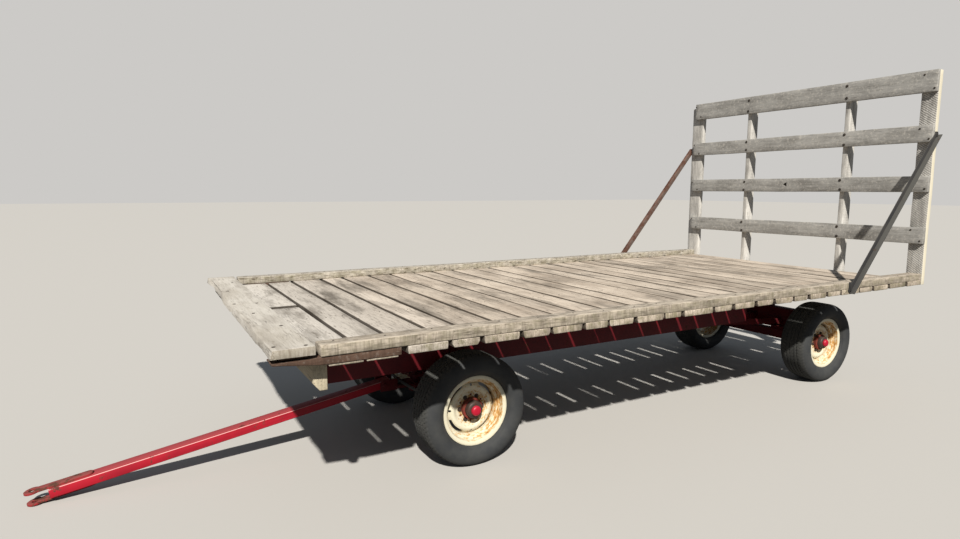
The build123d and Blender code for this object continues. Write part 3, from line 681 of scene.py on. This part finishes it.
# a three-sided knot has sunk into the third board: its place across and up, its size and depths
knotHole = {"place": (-0.02, 1.70), "radius": 0.026, "sides": 3, "cut": 0.03, "core": 0.012, "sunk": 0.011,
            "fit": 1.04, "rotation": (math.pi, math.pi / 2, 0), "seed": 3.0}
rackShapes = []
for low, high in solidBoxes("rack_boards"):
    shape = sawnBoard(low, high, "YZ", rackBuild)
    if low.z < knotHole["place"][1] < high.z:
        cutAway(shape, addCylinder(knotHole["sides"], knotHole["radius"], knotHole["cut"],
                                   (high.x, *knotHole["place"]), knotHole["rotation"]))
        core = addCylinder(knotHole["sides"], knotHole["radius"] * knotHole["fit"], knotHole["core"],
                           (high.x - knotHole["sunk"], *knotHole["place"]), knotHole["rotation"])
        applyPlace(core)
        roundEdges(core, 0.002, 1, 50)
        applyModifiers(core)
        markSeed(core, knotHole["seed"])
        paint(core, knotWood)
        rackShapes.append(core)
    paint(shape, rackWood)
    rackShapes.append(shape)
rackPiece = finishBoards("rackBoards", rackShapes, None, "rack_boards")
rackPosts = []
for low, high in solidBoxes("rack_uprights"):
    rackPosts.append(sawnBoard(low, high, "ZY", rackBuild))
    paint(rackPosts[-1], kerfedWood if low.y > 1 else uprightWood)
finishBoards("rackUprights", rackPosts, None, "rack_uprights")

# only the wide timber at the front, which is longer than the others, has its lower front edge cut away
sleeperBuild = {"cell": 0.08, "bow": 0.003, "sweep": 0.003, "rough": 0.003, "worn": 0.004}
tieBuild = dict(sleeperBuild, noseLength=2, noseBack=0.036, noseUp=0.03)


def chamferedNose(point, length, width, thickness):
    if length > tieBuild["noseLength"] and point.y < -width / 2 + hairline:
        if point.z > thickness - hairline:
            point.y += tieBuild["noseBack"]
        elif point.z > hairline:
            point.z = thickness - tieBuild["noseUp"]
    return point


sleepers = [sawnBoard(low, high, "XZ", sleeperBuild) for low, high in solidBoxes("sleepers")]
finishBoards("sleeperTimbers", sleepers, timberWood, "sleepers")
ties = [sawnBoard(low, high, "YZ", tieBuild, chamferedNose) for low, high in solidBoxes("cross_ties")]
finishBoards("crossTies", ties, tieWood, "cross_ties")

# CAD nodes that stay: material, rounding of their edges, and names
dressing = [
    (redWithPaintedShade, 0.0015, ["sill_channel_left", "sill_channel_right", "front_bolster", "rear_bolster", "front_axle",
                      "rear_axle", "reach", "front_hounds", "rear_hounds", "knuckle_left", "knuckle_right",
                      "steering_head"]),
    (tongueRed, 0.005, ["tongue_tube"]), (strapWorn, 0.002, ["hitch_straps"]),
    (angleSteel, 0.001, ["tie_rod_left", "tie_rod_right"]),
    (timberWood, 0.004, ["sill_timbers"]), (brownWood, 0.003, ["front_packing"]),
]
for material, edge, nodeNames in dressing:
    for nodeName in nodeNames:
        piece = nodes[nodeName]
        paint(piece, material)
        addModifier(piece, "WELD", merge_threshold=2 * sameSpot)
        roundEdges(piece, edge, 2, 35)
        smooth(piece)
print("CAD nodes dressed")

# an angle iron with its flat flange against the deck and the post, the other one standing out along
# its lower side on the left and its upper side on the right. A plate with a nut holds each end:
# where it is along and up, and how tall
braceBuild = {"foot": (-2.0095, 0.905), "head": (-3.036, 2.092), "leg": 0.038, "wall": 0.005,
              "plates": [(-2.0215, 0.94, 0.075), (-3.032, 2.08, 0.05)], "plateWidth": 0.034, "plateWall": 0.006,
              "nutInset": 0.01, "nutHeight": 0.007}


def facesTowards(piece, direction, beyond=None):
    # edit mode: selects the faces that look one way, and lie beyond a place on the Y axis
    bpy.ops.object.mode_set(mode="EDIT")
    bpy.ops.mesh.select_mode(type="FACE")
    bpy.ops.mesh.select_all(action="DESELECT")
    bpy.ops.object.mode_set(mode="OBJECT")
    for face in piece.data.polygons:
        face.select = face.normal.dot(Vector(direction)) > 0.9 and (beyond is None or face.center.y > beyond)
    bpy.ops.object.mode_set(mode="EDIT")


def addBlock(size, location):
    deselectAll()
    bpy.ops.mesh.primitive_cube_add(size=1, location=location)
    block = bpy.context.object
    block.scale = size
    applyPlace(block)
    return block


def buildBrace(name, nodeName, side, material):
    leg, wall = braceBuild["leg"], braceBuild["wall"]
    (footX, footZ), (headX, headZ) = braceBuild["foot"], braceBuild["head"]
    run = math.dist(braceBuild["foot"], braceBuild["head"])
    iron = addBlock((wall, leg - wall, run), (wall / 2, -wall / 2, run / 2))
    facesTowards(iron, (0, 1, 0))
    extrudeBy(0, wall, 0)
    facesTowards(iron, (1, 0, 0), leg / 2 - wall)
    extrudeBy(leg - wall, 0, 0)
    leaveEdit()
    along = Vector((headX - footX, 0, headZ - footZ)).normalized()
    outward = Vector((0, side, 0))
    low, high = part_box(nodeName)
    inner = low.y if side > 0 else high.y
    iron.matrix_world = (Matrix.Translation((footX, inner, footZ))
                         @ Matrix((outward, along.cross(outward), along)).transposed().to_4x4())
    applyPlace(iron)
    parts = [iron]
    for x, z, tall in braceBuild["plates"]:
        plate = addBlock((braceBuild["plateWidth"], braceBuild["plateWall"], tall),
                         (x, inner + side * braceBuild["plateWall"] / 2, z))
        facesTowards(plate, (0, side, 0))
        bpy.ops.mesh.inset(thickness=braceBuild["nutInset"])
        extrudeBy(0, side * braceBuild["nutHeight"], 0)
        bpy.ops.object.mode_set(mode="OBJECT")
        parts.append(plate)
    brace = joinAs(name, parts)
    roundEdges(brace, 0.001, 2, 35)
    applyModifiers(brace)
    smooth(brace)
    paint(brace, material)
    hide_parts(nodeName)
    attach(brace, "frame")
    print(name, "made")


buildBrace("leftRackBrace", "rack_brace_left", 1, braceDark)
buildBrace("rightRackBrace", "rack_brace_right", -1, braceBrown)


def spunShape(name, profile, steps, closed=False, angle=2 * math.pi):
    # a line of points, each outward place and radius, spun round the axle
    deselectAll()
    bpy.ops.mesh.primitive_plane_add(size=0.01, location=(0, *profile[0]))
    piece = bpy.context.object
    applyPlace(piece)
    bpy.ops.object.mode_set(mode="EDIT")
    bpy.ops.mesh.select_mode(type="VERT")
    bpy.ops.mesh.select_all(action="SELECT")
    bpy.ops.mesh.merge(type="CENTER")
    for (y, z), (nextY, nextZ) in zip(profile, profile[1:]):
        extrudeBy(0, nextY - y, nextZ - z)
    bpy.ops.object.mode_set(mode="OBJECT")
    if closed:
        # joins its two ends
        ends = [0, len(piece.data.vertices) - 1]
        for vertex in piece.data.vertices:
            vertex.select = vertex.index in ends
        bpy.ops.object.mode_set(mode="EDIT")
        bpy.ops.mesh.edge_face_add()
    editAll()
    bpy.ops.mesh.spin(steps=steps, angle=angle, center=(0, 0, 0), axis=(0, 1, 0))
    bpy.ops.mesh.select_all(action="SELECT")
    bpy.ops.mesh.remove_doubles(threshold=sameSpot)
    leaveEdit()
    piece.name = name
    return piece


def ringOf(piece, count, turn=0.0):
    # count copies of a piece round the axle, applied
    deselectAll()
    bpy.ops.object.empty_add(location=(0, 0, 0))
    hand = bpy.context.object
    hand.rotation_euler = (0, 2 * math.pi / count, 0)
    addModifier(piece, "ARRAY", count=count, use_relative_offset=False, use_object_offset=True, offset_object=hand)
    applyModifiers(piece)
    bpy.data.objects.remove(hand)
    piece.rotation_euler = (0, turn, 0)
    applyPlace(piece)
    return piece


tyreBuild = {
    # half the section from the bead to the middle of the tread's floor: outward place, radius
    "carcass": [(0.066, 0.1945), (0.0795, 0.1945), (0.0798, 0.2135), (0.0875, 0.2165), (0.093, 0.2185),
                (0.1, 0.2245), (0.1035, 0.2275), (0.1055, 0.2275), (0.1125, 0.236), (0.1195, 0.249),
                (0.1238, 0.264), (0.1248, 0.279), (0.1225, 0.294), (0.1175, 0.307), (0.112, 0.3165),
                (0.1055, 0.324), (0.098, 0.329), (0.09, 0.331), (0.06, 0.3318), (0.0, 0.332)],
    # each rib of the tread: inner and outer edge, skew and turn of its blocks, gap between them
    "ribs": [(-0.013, 0.013, 0.006, 0.0, 0.0035), (0.0185, 0.044, -0.008, 0.4, 0.0035),
             (-0.044, -0.0185, 0.008, 0.2, 0.0035), (0.05, 0.104, 0.005, 0.6, 0.0045),
             (-0.104, -0.05, -0.005, 0.8, 0.0045)],
    "pitches": 74, "radius": 0.3378, "blockDepth": 0.0115, "skewShare": 0.2, "steps": 120,
    # the crown is nearly flat to its shoulders, and falls away over them
    "shoulder": 0.06, "sink": 0.0002, "shoulderWidth": 0.044, "fall": 0.0118, "fallPower": 2.2,
}


def treadRadius(outward):
    out = abs(outward)
    if out < tyreBuild["shoulder"]:
        return tyreBuild["radius"] - tyreBuild["sink"] * (out / tyreBuild["shoulder"]) ** 2
    share = (out - tyreBuild["shoulder"]) / tyreBuild["shoulderWidth"]
    return tyreBuild["radius"] - tyreBuild["sink"] - tyreBuild["fall"] * share ** tyreBuild["fallPower"]


def buildTyre():
    half = tyreBuild["carcass"]
    profile = half + [(-y, z) for y, z in reversed(half[:-1])]
    parts = [spunShape("carcass", profile, tyreBuild["steps"], closed=True)]
    pitch = 2 * math.pi * tyreBuild["radius"] / tyreBuild["pitches"]
    for low, high, skew, turn, gap in tyreBuild["ribs"]:
        deselectAll()
        bpy.ops.mesh.primitive_grid_add(x_subdivisions=2, y_subdivisions=5, size=1, location=(0, 0, 0))
        block = bpy.context.object
        block.scale = (pitch - gap, high - low, 1)
        applyPlace(block)
        editAll()
        extrudeBy(0, 0, 1)
        leaveEdit()
        # the flat block is bent round the tyre, its ends skewed against its middle
        for vertex in block.data.vertices:
            outward = (low + high) / 2 + vertex.co.y
            middle = abs(vertex.co.y / (high - low)) < tyreBuild["skewShare"]
            angle = (vertex.co.x + skew * (1 if middle else -1)) / tyreBuild["radius"]
            reach = treadRadius(outward) - (0 if vertex.co.z > 0.5 else tyreBuild["blockDepth"])
            vertex.co = Vector((reach * math.sin(angle), outward, reach * math.cos(angle)))
        roundEdges(block, 0.0009, 1, 50)
        parts.append(ringOf(block, tyreBuild["pitches"], turn * 2 * math.pi / tyreBuild["pitches"]))
    tyre = joinAs("tyre", parts)
    smooth(tyre, 35)
    return tyre


rimBuild = {
    "barrel": [(0.0868, 0.2105), (0.0868, 0.2128), (0.0842, 0.2128), (0.0822, 0.2095), (0.0818, 0.199),
               (0.0798, 0.1935), (0.075, 0.1915), (0.056, 0.189), (0.05, 0.187), (0.044, 0.177), (0.038, 0.168),
               (0.032, 0.1655), (-0.014, 0.1655), (-0.022, 0.168), (-0.03, 0.177), (-0.044, 0.187),
               (-0.052, 0.189), (-0.075, 0.1915), (-0.0798, 0.1935), (-0.0818, 0.199), (-0.0822, 0.2095),
               (-0.0842, 0.2128), (-0.0868, 0.2128), (-0.0868, 0.2105)],
    "disc": [(0.0205, 0.0635), (0.0205, 0.098), (0.0225, 0.104), (0.0275, 0.111), (0.031, 0.117), (0.0325, 0.124),
             (0.0315, 0.131), (0.0275, 0.138), (0.021, 0.146), (0.0135, 0.152), (0.007, 0.156), (0.0025, 0.1595),
             (-0.006, 0.1612)],
    "barrelWall": 0.0042, "discWall": 0.005, "steps": 112, "cutFrom": -0.02, "cutTo": 0.06,
    # slots and round holes: radius of the circle they lie on, size, and angles or count and first angle
    "vents": {"radius": 0.151, "halfWidth": 0.0085, "halfAngle": 23, "middles": (45, 135, 225, 315)},
    "smallHoles": [(0.08, 6, 30, 0.0075), (0.142, 4, 0, 0.0075), (0.077, 6, 0, 0.0085)],
}


def buildRim():
    shells = []
    for key in ("barrel", "disc"):
        shell = spunShape(key, rimBuild[key], rimBuild["steps"])
        addModifier(shell, "SOLIDIFY", thickness=rimBuild[key + "Wall"], offset=-1)
        applyModifiers(shell)
        shells.append(shell)
    disc = shells[1]
    cutFrom, cutTo = rimBuild["cutFrom"], rimBuild["cutTo"]
    cutters = []
    for radius, count, firstAngle, holeRadius in rimBuild["smallHoles"]:
        for i in range(count):
            angle = math.radians(firstAngle + 360 / count * i)
            place = (radius * math.cos(angle), (cutFrom + cutTo) / 2, radius * math.sin(angle))
            cutter = addCylinder(20, holeRadius, cutTo - cutFrom, place, (math.pi / 2, 0, 0))
            applyPlace(cutter)
            cutters.append(cutter)
    vents = rimBuild["vents"]
    inside, outside = vents["radius"] - vents["halfWidth"], vents["radius"] + vents["halfWidth"]
    for middle in vents["middles"]:
        section = [(cutFrom, inside), (cutFrom, outside), (cutTo, outside), (cutTo, inside)]
        cutter = spunShape("ventCutter", section, 12, closed=True, angle=math.radians(2 * vents["halfAngle"]))
        editAll()
        bpy.ops.mesh.select_non_manifold()
        bpy.ops.mesh.edge_face_add()
        leaveEdit()
        # the spin starts at the top, so it is turned back to the slot's first angle
        cutter.rotation_euler = (0, math.radians(90 - middle + vents["halfAngle"]), 0)
        applyPlace(cutter)
        cutters.append(cutter)
    for cutter in cutters:
        cutAway(disc, cutter)
    roundEdges(disc, 0.0008, 2, 50)
    applyModifiers(disc)
    rim = joinAs("rim", shells)
    smooth(rim)
    return rim


hubBuild = {
    "flange": [(0.004, 0.02), (0.004, 0.0915), (0.0155, 0.0915), (0.0155, 0.0655), (0.048, 0.0655),
               (0.0505, 0.0635), (0.0505, 0.0545), (0.0475, 0.0535), (0.0475, 0.0)],
    "neck": [(-0.0515, 0.0205), (-0.0515, 0.045), (0.004, 0.0475), (0.004, 0.0205)],
    "cap": [(0.047, 0.053), (0.07, 0.0525), (0.077, 0.0505), (0.0815, 0.045), (0.084, 0.036), (0.085, 0.027),
            (0.085, 0.0)],
    "tip": [(0.083, 0.0305), (0.092, 0.0308), (0.099, 0.0285), (0.1032, 0.023), (0.1052, 0.0145), (0.1058, 0.0)],
    "steps": {"flange": 72, "neck": 48, "cap": 64, "tip": 48}, "lugs": 6, "lugCircle": 0.077,
    # a lug bolt's head, the stud in it and the washer: radius, sides, and where they start and end
    "boltParts": [(0.0105, 6, 0.0205, 0.03), (0.0062, 16, 0.0205, 0.0345), (0.0135, 24, 0.0185, 0.0222)],
}


def hubPart(name, material, closed=False):
    part = spunShape(name, hubBuild[name], hubBuild["steps"][name], closed)
    paint(part, material)
    return part


def buildHub():
    parts = [hubPart("flange", hubSteel), hubPart("neck", hubSteel, closed=True)]
    for radius, sides, low, high in hubBuild["boltParts"]:
        bolt = addCylinder(sides, radius, high - low, (hubBuild["lugCircle"], (low + high) / 2, 0),
                           (math.pi / 2, 0, 0))
        applyPlace(bolt)
        paint(bolt, capBlack)
        roundEdges(bolt, 0.0012, 2, 50)
        parts.append(ringOf(bolt, hubBuild["lugs"]))
    hub = joinAs("hub", parts)
    smooth(hub, 35)
    return hub


def buildCap():
    both = joinAs("hubCap", [hubPart("cap", capBlack), hubPart("tip", capRed)])
    smooth(both)
    return both


# one of each is modelled, listed with a slot name, and its material where it has a single one
masters = {
    "tyre": (buildTyre(), "tyre", tyreBlack), "rim": (buildRim(), "cream_paint", rimEnamel),
    "hub": (buildHub(), "dark_red_paint", None), "hub_cap": (buildCap(), "cap_black", None),
}
for part, (master, slotName, material) in masters.items():
    # each point keeps its place on the wheel, which the materials read
    layer = master.data.attributes.new("wheelPlace", "FLOAT_VECTOR", "POINT")
    layer.data.foreach_set("vector", [value for vertex in master.data.vertices for value in vertex.co])
    if material:
        paint(master, material)
    print(part, "made:", len(master.data.polygons), "faces")

wheelTurns = {"front_left": 0, "front_right": 70, "rear_left": 8, "rear_right": 205}
for place, turn in wheelTurns.items():
    low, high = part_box("tyre_" + place)
    halfTurn = 0 if place.endswith("left") else math.pi
    for part, (master, slotName, material) in masters.items():
        piece = master.copy()
        piece.data = master.data.copy()
        bpy.context.scene.collection.objects.link(piece)
        piece.name = piece.data.name = part + "_shape_" + place
        piece.matrix_world = (Matrix.Translation((low + high) / 2) @ Matrix.Rotation(halfTurn, 4, "Z")
                              @ Matrix.Rotation(math.radians(turn), 4, "Y"))
        applyPlace(piece)
        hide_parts(part + "_" + place)
        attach(piece, "wheel_" + place)
for master, slotName, material in masters.values():
    bpy.data.objects.remove(master)
print("wheels placed")


def headsOn(piece, starts, outward):
    # a line from each start finds the rough surface, and leaves out what misses it
    inward = Vector([-value for value in outward])
    hits = [piece.ray_cast(Vector(start), inward) for start in starts]
    return [(place, outward) for found, place, normal, face in hits if found]


def studField(name, heads, radius, height, sides):
    # heads standing on a surface: place and outward direction of each
    shapes = []
    for place, outward in heads:
        head = addCylinder(sides, radius, height * 2, (0, 0, 0))
        editAll()
        bpy.ops.mesh.bevel(offset=height * 0.6, segments=2)
        bpy.ops.object.mode_set(mode="OBJECT")
        head.matrix_world = (Matrix.Translation(place)
                             @ Vector(outward).to_track_quat("Z", "Y").to_matrix().to_4x4())
        applyPlace(head)
        shapes.append(head)
    piece = joinAs(name, shapes)
    smooth(piece)
    paint(piece, darkHead)
    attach(piece, "frame")
    print(name, "made:", len(heads))


def astray(most):
    return random.uniform(-most, most)


# two bolts or nails where a rack board crosses an upright: their share of the board's height and side
# of the post, how far out on a wide post, and how much each strays
rackFixing = {"pair": [(0.17, 1), (0.81, -1)], "widePost": 0.1, "out": 0.038, "stray": 0.006,
              "bolt": {"radius": 0.012, "height": 0.0035, "sides": 14},
              "nail": {"radius": 0.008, "height": 0.0025, "sides": 12}}
random.seed(7)
starts = []
for boardLow, boardHigh in solidBoxes("rack_boards"):
    for postLow, postHigh in solidBoxes("rack_uprights"):
        middle = (max(postLow.y, boardLow.y) + min(postHigh.y, boardHigh.y)) / 2
        out = rackFixing["out"] if postHigh.y - postLow.y > rackFixing["widePost"] else 0
        for share, side in rackFixing["pair"]:
            starts.append((0, middle + side * out + astray(rackFixing["stray"]),
                           boardLow.z + share * (boardHigh.z - boardLow.z) + astray(rackFixing["stray"])))
rackHeads = headsOn(rackPiece, starts, (1, 0, 0))
# carriage bolts through the two inner uprights, nails in the outer ones
studField("rackBolts", [head for head in rackHeads if abs(head[0].y) < 1], **rackFixing["bolt"])
studField("rackNails", [head for head in rackHeads if abs(head[0].y) > 1], **rackFixing["nail"])

# nails in the deck: rows over the sills, a strayed line along each edge board, and the few that show
# in the front board, each by how far back and how far left it is
deckNails = {"rows": (-0.39, 0.39), "shares": (0.22, 0.78), "strayX": 0.01, "strayY": 0.012,
             "edgeFirst": 0.09, "edgeStep": (0.17, 0.25), "edgeStray": 0.02,
             "front": [(0.03, 0.01), (0.15, 0.04), (0.081, 0.352), (0.146, 0.739), (0.03, 1.154),
                       (0.159, 1.182), (0.06, -0.5), (0.14, -0.9)],
             "above": 2, "height": 0.0014, "sides": 10}
above = deckNails["above"]
plankStarts = []
for low, high in solidBoxes("deck_planks"):
    for y in deckNails["rows"]:
        if low.y < y < high.y:
            for share in deckNails["shares"]:
                x = low.x + share * (high.x - low.x) + astray(deckNails["strayX"])
                plankStarts.append((x, y + astray(deckNails["strayY"]), above))
edgeStarts = []
for low, high in solidBoxes("edge_boards"):
    x = low.x + deckNails["edgeFirst"]
    while x < high.x:
        edgeStarts.append((x, (low.y + high.y) / 2 + astray(deckNails["edgeStray"]), above))
        x += random.uniform(*deckNails["edgeStep"])
low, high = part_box("front_board")
frontStarts = [(high.x - back, y, above) for back, y in deckNails["front"]]
for name, piece, starts, radius in (("nailHeads42", deckPiece, plankStarts, 0.0042),
                                    ("nailHeads52", edgePiece, edgeStarts, 0.0052),
                                    ("nailHeads92", frontPiece, frontStarts, 0.0092)):
    studField(name, headsOn(piece, starts, (0, 0, 1)), radius, deckNails["height"], deckNails["sides"])

# the floor is pale to the eye, but throws back little light, so that the shade under the deck stays
# deep, and the sky lights the wagon softly, but is shown as pale as the lit floor
stageLook = {"floorSize": 160, "floorSeen": "#b9b7b3", "floorLight": "#757370", "skySeen": "#cccac7",
             "skyLight": "#d5e0ee", "skyStrength": 0.24}
deselectAll()
bpy.ops.mesh.primitive_plane_add(size=stageLook["floorSize"], location=(0, 0, 0))
floor = bpy.context.object
floor.name = "paleFloor"
floorMaterial, tree = startMaterial("paleStudioFloor")
floorSeen = addNode(tree, "LightPath").outputs["Is Camera Ray"]
floorTone = addNode(tree, "Mix", {6: stageLook["floorLight"], 7: stageLook["floorSeen"]}, {0: floorSeen},
                    data_type="RGBA")
floorShader = addNode(tree, "BsdfPrincipled", {"Roughness": 0.95, "Specular IOR Level": 0.1},
                      {"Base Color": floorTone})
addNode(tree, "OutputMaterial", links={"Surface": floorShader})
paint(floor, floorMaterial)

world = bpy.data.worlds.new("studioSky")
bpy.context.scene.world = world
world.use_nodes = True
skyTree = world.node_tree
skyTree.nodes.clear()
skySeen = addNode(skyTree, "LightPath").outputs["Is Camera Ray"]
skyLight = addNode(skyTree, "Background", {"Color": stageLook["skyLight"], "Strength": stageLook["skyStrength"]})
skyShown = addNode(skyTree, "Background", {"Color": stageLook["skySeen"]})
skyMix = addNode(skyTree, "MixShader", links={0: skySeen, 1: skyLight, 2: skyShown})
addNode(skyTree, "OutputWorld", links={"Surface": skyMix})

# one wide warm key that throws parallel shadows, from the direction of the shadows in the photo
keyLook = {"energy": 6.0, "width": 1.2, "colour": "#fffaf2", "from": (0.51, 1.05, 1.0)}
keyLamp = bpy.data.lights.new("keyLight", "SUN")
keyLamp.energy = keyLook["energy"]
keyLamp.angle = math.radians(keyLook["width"])
keyLamp.color = linearColour(keyLook["colour"])[:3]
key = bpy.data.objects.new("keyLight", keyLamp)
bpy.context.scene.collection.objects.link(key)
key.rotation_euler = Vector(keyLook["from"]).to_track_quat("Z", "Y").to_euler()

# solved from the photo: place, heading, pitch, roll, and focal length in pixels of a frame 960 wide
view = {"place": (2.53546, 3.8169, 1.6392), "heading": -2.0808, "pitch": -0.1275, "roll": 0.0028,
        "focal": 620.47, "width": 960, "sensor": 36}
cameraData = bpy.data.cameras.new("photoCamera")
cameraData.sensor_width = view["sensor"]
cameraData.lens = view["focal"] / view["width"] * view["sensor"]
camera = bpy.data.objects.new("photoCamera", cameraData)
bpy.context.scene.collection.objects.link(camera)
forward = Vector((math.cos(view["pitch"]) * math.cos(view["heading"]),
                  math.cos(view["pitch"]) * math.sin(view["heading"]), math.sin(view["pitch"])))
right = forward.cross(Vector((0, 0, 1))).normalized()
above = right.cross(forward)
cosRoll, sinRoll = math.cos(view["roll"]), math.sin(view["roll"])
rolledRight = cosRoll * right + sinRoll * above
rolledAbove = cosRoll * above - sinRoll * right
camera.matrix_world = (Matrix.Translation(view["place"])
                       @ Matrix((rolledRight, rolledAbove, -forward)).transposed().to_4x4())
bpy.context.scene.camera = camera
bpy.context.scene.view_settings.view_transform = "Standard"
print("stage, lights and camera set")
